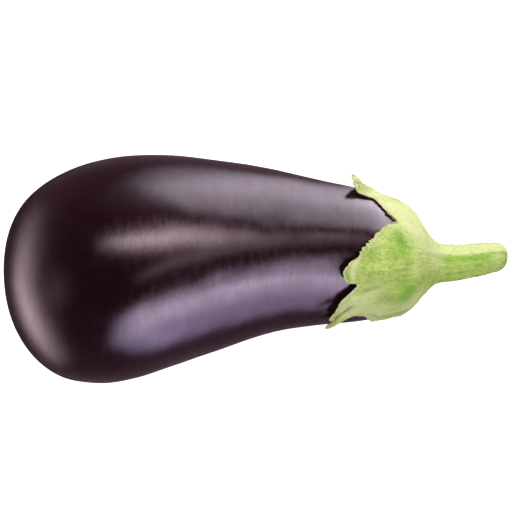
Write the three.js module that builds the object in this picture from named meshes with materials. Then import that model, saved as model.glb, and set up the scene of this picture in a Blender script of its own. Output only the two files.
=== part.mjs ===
// Eggplant, lying on its side as picked: the fruit, its calyx and its cut stem.
// Millimetres, +Z up, +X towards the stem, origin at the middle of the footprint.
//
// Everything is laid out round one long curved centre line. A point is given by
// its station s along that line (0 at the blossom end), its angle phi round it
// (0 towards +Y, 90 degrees upwards) and its distance from the line. The line
// itself leans nose-down by AXIS_TILT, so that the heavy end lies on the floor.
import * as THREE from 'three';

// ---------------------------------------------------------------- dimensions
const AXIS_TILT = 12.5;          // degrees, stem end lower than the blossom end
const BLOSSOM_X = -98.076;       // X of station 0 before centring
const AXIS_Z = 54.401;           // height of the centre line at station 0
const CENTRE_SHIFT = [-1.317, 5.463]; // X, Y that put the origin mid-footprint
const NECK_BEND = 7.5;           // how far the neck curves up at station 166
const NECK_BEND_FROM = 85.0;     // station where that curve starts
const FRUIT_LENGTH = 164.7;      // along the centre line
const CLEARANCE = 0.45;          // calyx to skin where it hugs the shoulder
const SEPAL_HEIGHT = 1.8;        // sepal's outer face above the skin
const SEPAL_EDGE = 0.9;          // thickness of a sepal at its margin
const SEPAL_THICKNESS = 1.35;    // thickness of a sepal where it lies on the skin
const JUNCTION = 175.5;          // station where the calyx narrows into the stem
const STEM_GAP = 0.3;            // between calyx and stem solids
const STEM_ROUNDING_FROM = 196.0;
const STEM_END = 201.1;          // station of the cut face
const FLOOR_CLEARANCE = 0.3;     // lowest the calyx comes to the floor

// Fruit: radius r(s) = G(s) * 2 * sqrt(t (1 - t)), t = s / FRUIT_LENGTH.
const FULLNESS_S = [0, 4, 10, 20, 35, 52, 70, 88, 106, 122, 136, 148, 158, 164.7];
const FULLNESS = [72.317, 67.942, 63.804, 59.263, 53.327, 47.364, 41.51, 37.006,
  34.3, 34.044, 36.722, 42.163, 51.893, 66.384];
// Sideways position of the centre line.
const SWAY_S = [0, 12, 30, 50, 70, 90, 110, 130, 148, 158, 165, 171, 177, 183, 189,
  196, 202, 207];
const SWAY = [-6.078, -7.666, -7.333, -4.982, -1.77, 0.38, 1.572, 0.873, -0.255,
  -0.956, -1.713, -2.839, -3.215, -2.987, -2.146, -1.028, -0.605, -0.683];
// Outer radius of the calyx's crown and of the stem.
const CROWN_S = [146, 150, 154, 158, 161, 164, 167, 170, 173, 176, 180, 186, 193, 200, 206];
const CROWN = [28.084, 26.455, 25.131, 23.84, 21.993, 19.068, 15.153, 11.664, 9.001,
  7.921, 7.56, 7.062, 6.587, 5.298, 4.243];

// Margin of the calyx, once round: [base angle, phi, station, height of the
// outer face above the skin]. Five sepals: the first curls off the skin, the
// second ends in a short rolled tip, the third is forked.
const MARGIN = [
  [0, 25, 136, 6.6], [4, 29, 136, 4.8], [9, 31, 137.1, 3.6], [14, 32, 138.1, 2.05],
  [19, 34, 141.2, 1.9], [25, 35.5, 143.8, 1.7], [32, 41.3, 145.3, 1.7], [39, 47, 147, 1.7],
  [46, 52.5, 149, 1.8], [53, 56.5, 151, 1.9], [57, 58.5, 151.4, 2], [61, 61.5, 149.7, 2.1],
  [66, 66.2, 146.7, 2.2], [71, 71.1, 144, 2.3], [79, 79.7, 139.6, 2.5],
  [86, 86.2, 136, 2.7], [91, 92.6, 134, 2.9], [95, 97.2, 131, 3], [99, 101.6, 129.4, 3],
  [103, 106, 128.9, 2.8], [107, 110.8, 129.9, 2.4], [110, 113, 131.9, 2.2],
  [113, 114.2, 134.9, 2.2], [117, 118.7, 133.5, 2.6], [122, 124.9, 129.9, 3],
  [126, 133.7, 127.3, 3.2], [129, 141.3, 126.8, 3.1], [131.5, 147.2, 126.2, 3],
  [134, 149.5, 128.2, 2.7], [136.5, 156.4, 125.8, 3.9], [138.5, 158.9, 129.7, 2.6],
  [140.5, 154, 131.8, 1.9], [142.5, 148, 134.1, 1.7], [144.5, 146.9, 137, 1.6],
  [147.5, 147.8, 139.8, 1.6], [152, 150.5, 141.9, 1.6], [158, 156.5, 143.7, 1.6],
  [167, 166, 145.2, 1.7], [177, 176, 146.3, 1.7], [186, 187, 145.4, 1.7],
  [194, 198, 142.4, 1.7], [202, 209, 138.6, 1.8], [209, 217, 134.4, 1.9],
  [215, 222, 131, 2.1], [219, 226, 128.6, 2.3], [223, 229, 131, 2.1],
  [229, 234, 135.6, 1.8], [237, 241, 141, 1.7], [246, 250, 146.4, 1.7],
  [257, 264, 149.8, 1.7], [268, 276, 148, 1.7], [278, 287, 143.4, 1.7],
  [287, 295, 138.6, 1.8], [293, 301, 134.4, 2], [298, 306, 132.2, 2.2],
  [303, 311, 134.6, 2.1], [309, 316, 139.6, 1.9], [316, 322, 145, 1.8],
  [323, 328, 149.4, 1.8], [330, 334, 151, 1.9], [336, 339, 149.2, 2],
  [342, 344, 146.2, 2.2], [348, 362, 142, 3], [354, 372, 138.5, 4.7],
];

// ---------------------------------------------------------------- curves
// Natural cubic spline through (xs, ys).
function spline(xs, ys) {
  const n = xs.length, m = new Array(n).fill(0), u = new Array(n).fill(0);
  for (let i = 1; i < n - 1; i++) {
    const sig = (xs[i] - xs[i - 1]) / (xs[i + 1] - xs[i - 1]);
    const p = sig * m[i - 1] + 2;
    m[i] = (sig - 1) / p;
    const d = (ys[i + 1] - ys[i]) / (xs[i + 1] - xs[i]) - (ys[i] - ys[i - 1]) / (xs[i] - xs[i - 1]);
    u[i] = ((6 * d) / (xs[i + 1] - xs[i - 1]) - sig * u[i - 1]) / p;
  }
  m[n - 1] = 0;
  for (let k = n - 2; k >= 0; k--) m[k] = m[k] * m[k + 1] + u[k];
  m[0] = 0;
  return (x) => {
    let k = 0;
    while (k < n - 2 && x > xs[k + 1]) k++;
    const h = xs[k + 1] - xs[k], a = (xs[k + 1] - x) / h, b = (x - xs[k]) / h;
    return a * ys[k] + b * ys[k + 1] + (((a * a * a - a) * m[k] + (b * b * b - b) * m[k + 1]) * h * h) / 6;
  };
}
const smooth = (a, b, x) => {
  const t = Math.min(1, Math.max(0, (x - a) / (b - a)));
  return t * t * (3 - 2 * t);
};
const rad = Math.PI / 180;
// How late a sepal's fibres turn from their base angle to the margin's angle: the
// forked sepal hooks sharply only near its tips.
const turning = (base) => 1.6 + 3.6 * smooth(118, 126, base) * (1 - smooth(146, 156, base))
  + 3.4 * smooth(129, 134, base) * (1 - smooth(143, 150, base));
// Where along its length a sepal leaves the skin: the loose tips curl up only at their ends.
const liftsFrom = (base) => 0.3 + 0.56 * Math.max(
  1 - smooth(12, 32, Math.abs(((base + 180) % 360) - 180)),
  smooth(127, 131, base) * (1 - smooth(142, 146, base)));
const fullness = spline(FULLNESS_S, FULLNESS);
const sway = spline(SWAY_S, SWAY);
const crown = spline(CROWN_S, CROWN);

// Radius of the fruit at station s.
function fruitRadius(s) {
  const t = s / FRUIT_LENGTH;
  return fullness(s) * 2 * Math.sqrt(Math.max(0, t * (1 - t)));
}
// Outer radius of the calyx before its sepals lift, down to the stem.
function crownRadius(s) {
  const w = smooth(144, 152, s);
  const low = s < 152 ? fruitRadius(s) + SEPAL_HEIGHT : 0;
  return w >= 1 ? crown(s) : low * (1 - w) + crown(Math.max(s, 144)) * w;
}
function stemRadius(s) {
  if (s <= STEM_ROUNDING_FROM) return crown(s);
  const q = (s - STEM_ROUNDING_FROM) / 5.4;
  return crown(STEM_ROUNDING_FROM) * Math.pow(1 - Math.pow(q, 2.6), 1 / 2.2);
}
// Point at station s, angle phi (degrees) and distance r from the centre line.
const ca = Math.cos(AXIS_TILT * rad), sa = Math.sin(AXIS_TILT * rad);
function place(s, phi, r) {
  const bend = NECK_BEND * Math.pow(Math.max(0, s - NECK_BEND_FROM) / (166 - NECK_BEND_FROM), 2);
  const y = sway(s) + r * Math.cos(phi * rad);
  const n = bend + r * Math.sin(phi * rad);
  return [
    BLOSSOM_X + s * ca + n * sa + CENTRE_SHIFT[0],
    y + CENTRE_SHIFT[1],
    AXIS_Z - s * sa + n * ca,
  ];
}

// ---------------------------------------------------------------- meshes
// Closed solid from rings of equal count, with a point or a flat fan at each end.
function loft(rings, first, last) {
  const n = rings[0].length, pos = [], idx = [];
  for (const ring of rings) for (const p of ring) pos.push(...p);
  const a = pos.length / 3; pos.push(...first);
  const b = pos.length / 3; pos.push(...last);
  for (let j = 0; j < n; j++) {
    const k = (j + 1) % n;
    idx.push(a, k, j);
    for (let i = 0; i + 1 < rings.length; i++) {
      const p = i * n + j, q = i * n + k, r = (i + 1) * n + j, t = (i + 1) * n + k;
      idx.push(p, q, t, p, t, r);
    }
    const o = (rings.length - 1) * n;
    idx.push(b, o + j, o + k);
  }
  return { pos, idx };
}
function solid(name, { pos, idx }, colour, roughness) {
  const g = new THREE.BufferGeometry();
  g.setAttribute('position', new THREE.Float32BufferAttribute(pos, 3));
  // faces point outwards: turn them round if the signed volume is negative
  let v = 0;
  const P = (i) => new THREE.Vector3(pos[3 * i], pos[3 * i + 1], pos[3 * i + 2]);
  for (let i = 0; i < idx.length; i += 3) {
    v += P(idx[i]).dot(P(idx[i + 1]).cross(P(idx[i + 2])));
  }
  if (v < 0) for (let i = 0; i < idx.length; i += 3) [idx[i + 1], idx[i + 2]] = [idx[i + 2], idx[i + 1]];
  g.setIndex(idx);
  g.computeVertexNormals();
  const m = new THREE.Mesh(g, new THREE.MeshStandardMaterial({ color: colour, roughness, metalness: 0 }));
  m.name = name;
  return m;
}

// Fruit: rings close together at both ends. What would reach below the floor is
// flattened to z = 0, which is the small flat spot that it lies on.
const onFloor = (p, z = 0) => [p[0], p[1], Math.max(p[2], z)];
function fruit(stations, around) {
  const rings = [];
  for (let i = 1; i < stations; i++) {
    const t = (1 - Math.cos((Math.PI * i) / stations)) / 2;
    const s = t * FRUIT_LENGTH;
    const ring = [];
    for (let j = 0; j < around; j++) ring.push(onFloor(place(s, (360 * j) / around, fruitRadius(s))));
    rings.push(ring);
  }
  return loft(rings, place(0, 0, 0), place(FRUIT_LENGTH, 0, 0));
}

// Arc length along a profile that runs back from the stem, so that rings are
// evenly spaced over it.
function arcTable(radius, from, to, steps) {
  const s = [from], l = [0], back = [-from];
  for (let i = 1; i <= steps; i++) {
    const a = from + ((to - from) * i) / steps, p = s[i - 1];
    s.push(a);
    back.push(-a);
    l.push(l[i - 1] + Math.hypot(a - p, radius(a) - radius(p)));
  }
  const lerp = (xs, ys, x) => {
    let k = 0;
    while (k < xs.length - 2 && x > xs[k + 1]) k++;
    return ys[k] + ((ys[k + 1] - ys[k]) * (x - xs[k])) / (xs[k + 1] - xs[k]);
  };
  return { at: (x) => lerp(l, s, x), of: (x) => lerp(back, l, -x) };
}

// Calyx: an outer sheet from the stem to the margin, the margin's edge, and an
// inner sheet that follows the fruit's shoulder back to the centre line.
function calyx(outerRings, innerRings) {
  const cols = [];
  for (let i = 0; i < MARGIN.length; i++) {
    const a = MARGIN[i], b = MARGIN[(i + 1) % MARGIN.length];
    const turn = (x, y) => (y < x - 180 ? y + 360 : y);
    cols.push(a);
    const mid = [0, 1, 2, 3].map((k) => (k < 2 ? (a[k] + turn(a[k], b[k])) / 2 : (a[k] + b[k]) / 2));
    if (turn(a[0], b[0]) - a[0] > 4.5) cols.push(mid);
  }
  const outer = arcTable(crownRadius, JUNCTION, 124, 400);
  // the skin, CLEARANCE outside the fruit, ends on the centre line
  const tip = FRUIT_LENGTH + CLEARANCE;
  const skin = (s) => {
    const t = s / tip, u = Math.min(1, t) * FRUIT_LENGTH;
    return s >= tip ? 0 : fruitRadius(u) + CLEARANCE * (1 + 0.6 * smooth(155, 163, s)) * (s > 163.5 ? Math.sqrt(Math.max(0, (tip - s) / (tip - 163.5))) : 1);
  };
  const inner = arcTable(skin, tip, 124, 900);
  const rings = [];
  for (let i = 0; i <= outerRings; i++) {
    const t = i / outerRings;
    rings.push(cols.map(([base, phi, s, h]) => {
      const w = Math.pow(t, turning(base));
      const st = outer.at(outer.of(s) * t);
      const lift = (h - SEPAL_HEIGHT) * smooth(liftsFrom(base), 1, t);
      const a = base + (phi - base) * w;
      return onFloor(place(st, a, crownRadius(st) + lift), FLOOR_CLEARANCE);
    }));
  }
  for (let i = innerRings; i >= 1; i--) {
    const t = i / innerRings;
    rings.push(cols.map(([base, phi, s, h]) => {
      const w = Math.pow(t, turning(base));
      const st = inner.at(inner.of(s) * t);
      const thick = SEPAL_THICKNESS + (SEPAL_EDGE - SEPAL_THICKNESS) * smooth(0.6, 1, t);
      const lift = Math.max(0, crownRadius(s) - fruitRadius(s) - SEPAL_HEIGHT) * smooth(liftsFrom(base), 1, t)
        + (h - SEPAL_HEIGHT) * smooth(liftsFrom(base), 1, t) + (SEPAL_THICKNESS - thick);
      const a = base + (phi - base) * w;
      return place(st, a, skin(st) + lift);
    }));
  }
  return loft(rings, place(JUNCTION, 0, 0), place(tip, 0, 0));
}

// Stem: round, slightly tapering and swaying, with a rounded rim at the cut.
function stem(around) {
  const stations = [JUNCTION + STEM_GAP, 178, 181, 184, 187, 190, 193, 196, 197.6, 198.8, 199.7, 200.3, 200.8, STEM_END];
  const rings = stations.map((s) => {
    const ring = [];
    for (let j = 0; j < around; j++) ring.push(place(s, (360 * j) / around, stemRadius(s)));
    return ring;
  });
  return loft(rings, place(stations[0], 0, 0), place(STEM_END, 0, 0));
}

const eggplant = new THREE.Group();
eggplant.name = 'eggplant';
eggplant.add(
  solid('fruit', fruit(40, 56), 0x2a1620, 0.22),
  solid('calyx', calyx(14, 10), 0xa9c765, 0.7),
  solid('stem', stem(28), 0xa4c86a, 0.65),
);
export default eggplant;
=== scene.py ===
"""Looks of the eggplant: skin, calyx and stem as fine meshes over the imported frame."""
import math

import bpy
import numpy as np
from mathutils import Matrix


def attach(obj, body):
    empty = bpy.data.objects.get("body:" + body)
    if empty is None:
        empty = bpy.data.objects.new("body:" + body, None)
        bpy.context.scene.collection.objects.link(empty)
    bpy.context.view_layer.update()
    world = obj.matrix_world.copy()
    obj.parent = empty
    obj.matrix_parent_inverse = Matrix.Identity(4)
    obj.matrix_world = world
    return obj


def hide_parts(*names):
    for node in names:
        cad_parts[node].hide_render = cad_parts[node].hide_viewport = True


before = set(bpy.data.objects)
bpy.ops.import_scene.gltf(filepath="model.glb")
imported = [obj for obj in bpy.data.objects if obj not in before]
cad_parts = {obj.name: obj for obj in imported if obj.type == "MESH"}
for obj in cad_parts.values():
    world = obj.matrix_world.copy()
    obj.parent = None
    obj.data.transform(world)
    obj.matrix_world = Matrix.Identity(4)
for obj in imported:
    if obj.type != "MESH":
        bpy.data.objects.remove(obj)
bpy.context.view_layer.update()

scene = bpy.context.scene
scene.view_settings.view_transform = "Standard"
scene.view_settings.look = "None"

# ------------------------------------------------------------------ dimensions
# The same centre line, profiles and margin as the solids, in millimetres.
AXIS_TILT = 12.5
BLOSSOM_X = -98.076
AXIS_Z = 54.401
CENTRE_SHIFT = (-1.317, 5.463)
NECK_BEND = 7.5
NECK_BEND_FROM = 85.0
FRUIT_LENGTH = 164.7
CLEARANCE = 0.45
SEPAL_HEIGHT = 1.8
SEPAL_EDGE = 0.9
SEPAL_THICKNESS = 1.35
JUNCTION = 175.5
STEM_ROUNDING_FROM = 196.0
STEM_END = 201.1
FLOOR_CLEARANCE = 0.3

FULLNESS_S = [0, 4, 10, 20, 35, 52, 70, 88, 106, 122, 136, 148, 158, 164.7]
FULLNESS = [72.317, 67.942, 63.804, 59.263, 53.327, 47.364, 41.51, 37.006,
            34.3, 34.044, 36.722, 42.163, 51.893, 66.384]
SWAY_S = [0, 12, 30, 50, 70, 90, 110, 130, 148, 158, 165, 171, 177, 183, 189,
          196, 202, 207]
SWAY = [-6.078, -7.666, -7.333, -4.982, -1.77, 0.38, 1.572, 0.873, -0.255,
        -0.956, -1.713, -2.839, -3.215, -2.987, -2.146, -1.028, -0.605, -0.683]
CROWN_S = [146, 150, 154, 158, 161, 164, 167, 170, 173, 176, 180, 186, 193, 200, 206]
CROWN = [28.084, 26.455, 25.131, 23.84, 21.993, 19.068, 15.153, 11.664, 9.001,
         7.921, 7.56, 7.062, 6.587, 5.298, 4.243]
# base angle, angle, station and height of the outer face above the skin
MARGIN = [
    (0, 25, 136, 6.6), (4, 29, 136, 4.8), (9, 31, 137.1, 3.6), (14, 32, 138.1, 2.05),
    (19, 34, 141.2, 1.9), (25, 35.5, 143.8, 1.7), (32, 41.3, 145.3, 1.7),
    (39, 47, 147, 1.7), (46, 52.5, 149, 1.8), (53, 56.5, 151, 1.9), (57, 58.5, 151.4, 2),
    (61, 61.5, 149.2, 2.1), (66, 66.2, 145.9, 2.2), (71, 71.1, 143.2, 2.3),
    (79, 79.7, 139.0, 2.5), (86, 86.2, 135.7, 2.7), (91, 92.6, 134, 2.9), (95, 97.2, 131, 3),
    (99, 101.6, 129.4, 3), (103, 106, 128.9, 2.8), (107, 110.8, 129.9, 2.4),
    (110, 113, 131.9, 2.2), (113, 114.2, 134.9, 2.2), (117, 118.7, 133.5, 2.6),
    (122, 124.9, 130.4, 3), (126, 133.7, 128.0, 3.2), (129, 141.3, 126.8, 3.1),
    (131.5, 147.2, 126.2, 3), (134, 149.5, 128.2, 2.7), (136.5, 156.4, 125.8, 3.9),
    (138.5, 158.9, 129.7, 2.6), (140.5, 154, 131.0, 1.9), (142.5, 148, 132.9, 1.7),
    (144.5, 146.4, 136.2, 1.6), (147.5, 147.8, 139.8, 1.6), (152, 150.5, 141.9, 1.6),
    (158, 156.5, 143.7, 1.6), (167, 166, 146.2, 1.5), (177, 176, 147.0, 1.3),
    (186, 187, 147.3, 1.3), (194, 198, 147.0, 1.3), (202, 209, 141.2, 1.6),
    (209, 217, 134.4, 1.9), (215, 222, 131, 2.1), (219, 226, 128.6, 2.3),
    (223, 229, 131, 2.1), (229, 234, 135.6, 1.8), (237, 241, 141, 1.7),
    (246, 250, 146.4, 1.7), (257, 264, 149.8, 1.7), (268, 276, 148, 1.7),
    (278, 287, 143.4, 1.7), (287, 295, 138.6, 1.8), (293, 301, 134.4, 2),
    (298, 306, 132.2, 2.2), (303, 311, 134.6, 2.1), (309, 316, 139.6, 1.9),
    (316, 322, 145, 1.8), (323, 328, 149.4, 1.8), (330, 334, 151, 1.9),
    (336, 339, 149.2, 2), (342, 344, 146.2, 2.2), (348, 362, 142, 3),
    (354, 372, 138.5, 4.7),
]


ROOM_LOW, ROOM_HIGH = 0.37, 0.37      # soft light of the room on matte surfaces
KEY_POWER = 5.0


# ------------------------------------------------------------------ curves
def spline(xs, ys):
    """Natural cubic spline through (xs, ys), for numpy arrays."""
    xs, ys = np.asarray(xs, float), np.asarray(ys, float)
    n = len(xs)
    m, u = np.zeros(n), np.zeros(n)
    for i in range(1, n - 1):
        sig = (xs[i] - xs[i - 1]) / (xs[i + 1] - xs[i - 1])
        p = sig * m[i - 1] + 2
        m[i] = (sig - 1) / p
        d = (ys[i + 1] - ys[i]) / (xs[i + 1] - xs[i]) - (ys[i] - ys[i - 1]) / (xs[i] - xs[i - 1])
        u[i] = ((6 * d) / (xs[i + 1] - xs[i - 1]) - sig * u[i - 1]) / p
    m[n - 1] = 0
    for k in range(n - 2, -1, -1):
        m[k] = m[k] * m[k + 1] + u[k]
    m[0] = 0

    def f(x):
        x = np.asarray(x, float)
        k = np.clip(np.searchsorted(xs, x, side="left") - 1, 0, n - 2)
        h = xs[k + 1] - xs[k]
        a, b = (xs[k + 1] - x) / h, (x - xs[k]) / h
        return a * ys[k] + b * ys[k + 1] + ((a**3 - a) * m[k] + (b**3 - b) * m[k + 1]) * h * h / 6
    return f


def smooth(a, b, x):
    t = np.clip((np.asarray(x, float) - a) / (np.asarray(b, float) - a), 0, 1)
    return t * t * (3 - 2 * t)


def turning(base):
    """How late a sepal's fibres turn from their base angle to the margin's angle."""
    return 1.6 + 3.6 * smooth(118, 126, base) * (1 - smooth(146, 156, base)) \
        + 3.4 * smooth(129, 134, base) * (1 - smooth(143, 150, base))


def lifts_from(base):
    """Where along its length a sepal leaves the skin: loose tips curl up only at their ends."""
    far = np.abs((base + 180) % 360 - 180)
    return 0.3 + 0.56 * np.maximum(1 - smooth(12, 32, far),
                                   smooth(127, 131, base) * (1 - smooth(142, 146, base)))


fullness, sway, crown = spline(FULLNESS_S, FULLNESS), spline(SWAY_S, SWAY), spline(CROWN_S, CROWN)
CA, SA = math.cos(math.radians(AXIS_TILT)), math.sin(math.radians(AXIS_TILT))


def fruit_radius(s):
    t = s / FRUIT_LENGTH
    return fullness(s) * 2 * np.sqrt(np.maximum(0, t * (1 - t)))


def crown_radius(s):
    w = smooth(144, 152, s)
    low = fruit_radius(np.minimum(s, 152)) + SEPAL_HEIGHT
    return low * (1 - w) + crown(np.maximum(s, 144)) * w


def stem_radius(s):
    q = np.clip((s - STEM_ROUNDING_FROM) / 5.4, 0, 0.999)
    tail = crown(STEM_ROUNDING_FROM) * np.power(1 - np.power(q, 2.6), 1 / 2.2)
    return np.where(s <= STEM_ROUNDING_FROM, crown(np.minimum(s, STEM_ROUNDING_FROM)), tail)


def place(s, phi, r):
    """Point at station s, angle phi in degrees and distance r from the centre line."""
    s, phi, r = np.broadcast_arrays(np.asarray(s, float), phi, r)
    bend = NECK_BEND * (np.maximum(0, s - NECK_BEND_FROM) / (166 - NECK_BEND_FROM)) ** 2
    y = sway(s) + r * np.cos(np.radians(phi))
    n = bend + r * np.sin(np.radians(phi))
    return np.stack([BLOSSOM_X + s * CA + n * SA + CENTRE_SHIFT[0], y + CENTRE_SHIFT[1],
                     AXIS_Z - s * SA + n * CA], -1)


def field(p, seed, wavelength, count=28):
    """Smooth random field of about unit size over points p, the same every run."""
    rng = np.random.RandomState(seed)
    d = rng.normal(size=(count, 3))
    d /= np.linalg.norm(d, axis=1, keepdims=True)
    k = 2 * math.pi / wavelength * rng.uniform(0.65, 1.4, count)
    ph = rng.uniform(0, 2 * math.pi, count)
    out = np.zeros(p.shape[:-1])
    for i in range(count):
        out += np.sin((p @ d[i]) * k[i] + ph[i])
    return out * math.sqrt(2 / count)


# ------------------------------------------------------------------ mesh making
def grid_quads(rows, cols, offset=0):
    i, j = np.meshgrid(np.arange(rows - 1), np.arange(cols), indexing="ij")
    k = (j + 1) % cols
    return (np.stack([i * cols + j, i * cols + k, (i + 1) * cols + k, (i + 1) * cols + j], -1)
            .reshape(-1, 4) + offset)


def fan(centre, row_start, cols, flip=False):
    j = np.arange(cols)
    k = (j + 1) % cols
    a, b = (k, j) if flip else (j, k)
    return np.stack([np.full(cols, centre), row_start + a, row_start + b], -1)


def build(name, verts_mm, quads, tris, material, attributes=(), smooth_shade=True):
    me = bpy.data.meshes.new(name)
    v = np.ascontiguousarray(verts_mm, dtype=np.float64) * 0.001
    quads = np.asarray(quads, dtype=np.int64).reshape(-1, 4)
    tris = np.asarray(tris, dtype=np.int64).reshape(-1, 3)
    # outward faces: turn everything round if the signed volume is negative
    t = np.concatenate([quads[:, [0, 1, 2]], quads[:, [0, 2, 3]], tris])
    vol = np.einsum("ij,ij->i", v[t[:, 0]], np.cross(v[t[:, 1]], v[t[:, 2]])).sum()
    if vol < 0:
        quads, tris = quads[:, ::-1], tris[:, ::-1]
    me.vertices.add(len(v))
    me.vertices.foreach_set("co", v.astype(np.float32).ravel())
    loops = np.concatenate([quads.ravel(), tris.ravel()]).astype(np.int32)
    starts = np.concatenate([np.arange(len(quads)) * 4, len(quads) * 4 + np.arange(len(tris)) * 3]).astype(np.int32)
    totals = np.concatenate([np.full(len(quads), 4), np.full(len(tris), 3)]).astype(np.int32)
    me.loops.add(len(loops))
    me.loops.foreach_set("vertex_index", loops)
    me.polygons.add(len(starts))
    me.polygons.foreach_set("loop_start", starts)
    me.polygons.foreach_set("loop_total", totals)
    me.polygons.foreach_set("use_smooth", np.full(len(starts), smooth_shade))
    me.update(calc_edges=True)
    me.validate()
    for key, data in attributes:
        data = np.asarray(data, np.float32)
        if data.ndim == 1:
            a = me.attributes.new(key, "FLOAT", "POINT")
            a.data.foreach_set("value", data)
        else:
            a = me.attributes.new(key, "FLOAT_VECTOR", "POINT")
            a.data.foreach_set("vector", data.ravel())
    ob = bpy.data.objects.new(name, me)
    scene.collection.objects.link(ob)
    me.materials.append(material)
    return ob


# ------------------------------------------------------------------ shader helper
class Nodes:
    """Small helper for building node trees."""

    def __init__(self, tree):
        self.tree = tree
        self.tree.nodes.clear()

    def new(self, kind, **props):
        n = self.tree.nodes.new(kind)
        for k, v in props.items():
            setattr(n, k, v)
        return n

    def put(self, socket, value):
        if isinstance(value, bpy.types.NodeSocket):
            self.tree.links.new(value, socket)
        else:
            socket.default_value = value

    def math(self, op, *args, clamp=False):
        n = self.new("ShaderNodeMath", operation=op, use_clamp=clamp)
        for i, a in enumerate(args):
            self.put(n.inputs[i], a)
        return n.outputs[0]

    def add(self, a, b): return self.math("ADD", a, b)
    def sub(self, a, b): return self.math("SUBTRACT", a, b)
    def mul(self, *args):
        out = args[0]
        for a in args[1:]:
            out = self.math("MULTIPLY", out, a)
        return out

    def step(self, x, a, b, lo=0.0, hi=1.0):
        """Smooth ramp of x from a to b."""
        n = self.new("ShaderNodeMapRange", interpolation_type="SMOOTHSTEP")
        self.put(n.inputs["Value"], x)
        for key, v in (("From Min", a), ("From Max", b), ("To Min", lo), ("To Max", hi)):
            self.put(n.inputs[key], v)
        return n.outputs["Result"]

    def bell(self, x, centre, width):
        """exp(-((x - centre) / width)^2 / 2)"""
        d = self.math("DIVIDE", self.sub(x, centre), width)
        return self.math("EXPONENT", self.mul(self.mul(d, d), -0.5))

    def mix(self, fac, a, b, kind="MIX"):
        n = self.new("ShaderNodeMix", data_type="RGBA", blend_type=kind)
        self.put(n.inputs["Factor"], fac)
        for i, s in enumerate([x for x in n.inputs if x.type == "RGBA"]):
            self.put(s, (a, b)[i])
        return [x for x in n.outputs if x.type == "RGBA"][0]

    def vec(self, op, *args, scale=None):
        n = self.new("ShaderNodeVectorMath", operation=op)
        for i, a in enumerate(args):
            self.put(n.inputs[i], a)
        if scale is not None:
            self.put(n.inputs["Scale"], scale)
        return n.outputs[1] if op in ("DOT_PRODUCT", "LENGTH", "DISTANCE") else n.outputs[0]

    def noise(self, coords, scale=1.0, detail=2.0, rough=0.5, distort=0.0, stretch=None, colour=False):
        if stretch is not None:
            coords = self.vec("MULTIPLY", coords, stretch)
        n = self.new("ShaderNodeTexNoise")
        self.put(n.inputs["Vector"], coords)
        self.put(n.inputs["Scale"], scale)
        self.put(n.inputs["Detail"], detail)
        self.put(n.inputs["Roughness"], rough)
        self.put(n.inputs["Distortion"], distort)
        return n.outputs["Color" if colour else "Fac"]

    def attr(self, name, what="Fac"):
        return self.new("ShaderNodeAttribute", attribute_name=name).outputs[what]


def rgb(r, g, b):
    """sRGB 0-255 to the linear colour of a socket."""
    out = []
    for c in (r, g, b):
        c /= 255.0
        out.append(c / 12.92 if c <= 0.04045 else ((c + 0.055) / 1.055) ** 2.4)
    return (*out, 1.0)


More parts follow.
